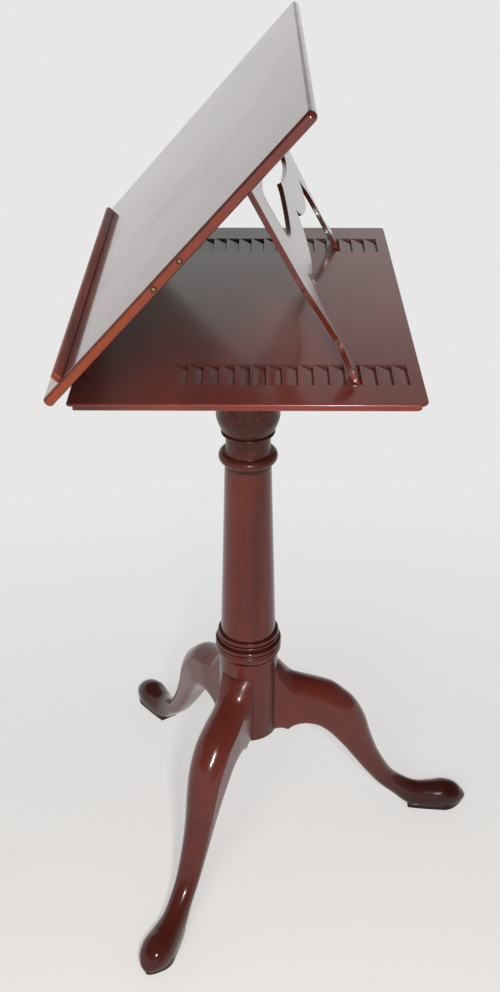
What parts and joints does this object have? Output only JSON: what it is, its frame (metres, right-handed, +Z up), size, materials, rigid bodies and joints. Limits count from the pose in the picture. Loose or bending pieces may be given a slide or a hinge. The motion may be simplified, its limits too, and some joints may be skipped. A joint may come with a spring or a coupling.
{
  "type": "tilting reading table",
  "caption": "Pedestal reading table with a book slope hinged on a flat bed, a ratchet strut under the slope and cabriole legs on slipper feet.",
  "frame": {"origin": "centre of the object's outer box, on the floor under the feet", "axes": "+Z up, +Y along the slope's hinge line, +X from the hinge towards the bed's free edge"},
  "size_m": [0.4652, 0.5116, 0.9734],
  "materials": {
    "mahogany": "polished reddish-brown mahogany, worn orange along its edges",
    "dark_mahogany": "dark red-brown mahogany with a high gloss",
    "raw_mahogany": "unpolished mahogany",
    "brass": "aged brass",
    "iron": "dull wrought iron"
  },
  "bodies": {
    "stand": {"bed": "mahogany", "top_block": "raw_mahogany", "bearer_front": "raw_mahogany", "bearer_back": "raw_mahogany", "screw_front_left": "iron", "screw_front_right": "iron", "screw_back_left": "iron", "screw_back_right": "iron", "column": "dark_mahogany", "leg_right": "dark_mahogany", "leg_back": "dark_mahogany", "leg_front": "dark_mahogany", "spider_plate": "iron", "bed_leaf_front": "brass", "bed_leaf_back": "brass", "hinge_pin_front": "brass", "hinge_pin_back": "brass"},
    "slope": {"slope_board": "mahogany", "book_ledge": "dark_mahogany", "edge_pin_1": "brass", "edge_pin_2": "brass", "slope_leaf_front": "brass", "slope_leaf_back": "brass", "strut_cleat": "mahogany", "cleat_leaf_front": "brass", "cleat_leaf_back": "brass"},
    "strut": {"strut": "mahogany", "strut_leaf_front": "brass", "strut_leaf_back": "brass", "strut_pin_front": "brass", "strut_pin_back": "brass"}
  },
  "joints": [
    {"name": "slope_tilt", "type": "hinge", "parent": "stand", "child": "slope", "pos_m": [-0.21868, 0.01146, 0.7235], "axis": [0, -1, 0], "range_deg": [0, 47]},
    {"name": "strut_swing", "type": "hinge", "parent": "slope", "child": "strut", "pos_m": [-0.05539, 0.01146, 0.90008], "axis": [0, 1, 0], "range_deg": [0, 70.8]}
  ],
  "couplings": [
    {"joint": "strut_swing", "follows": "slope_tilt", "ratio": 1.5}
  ]
}
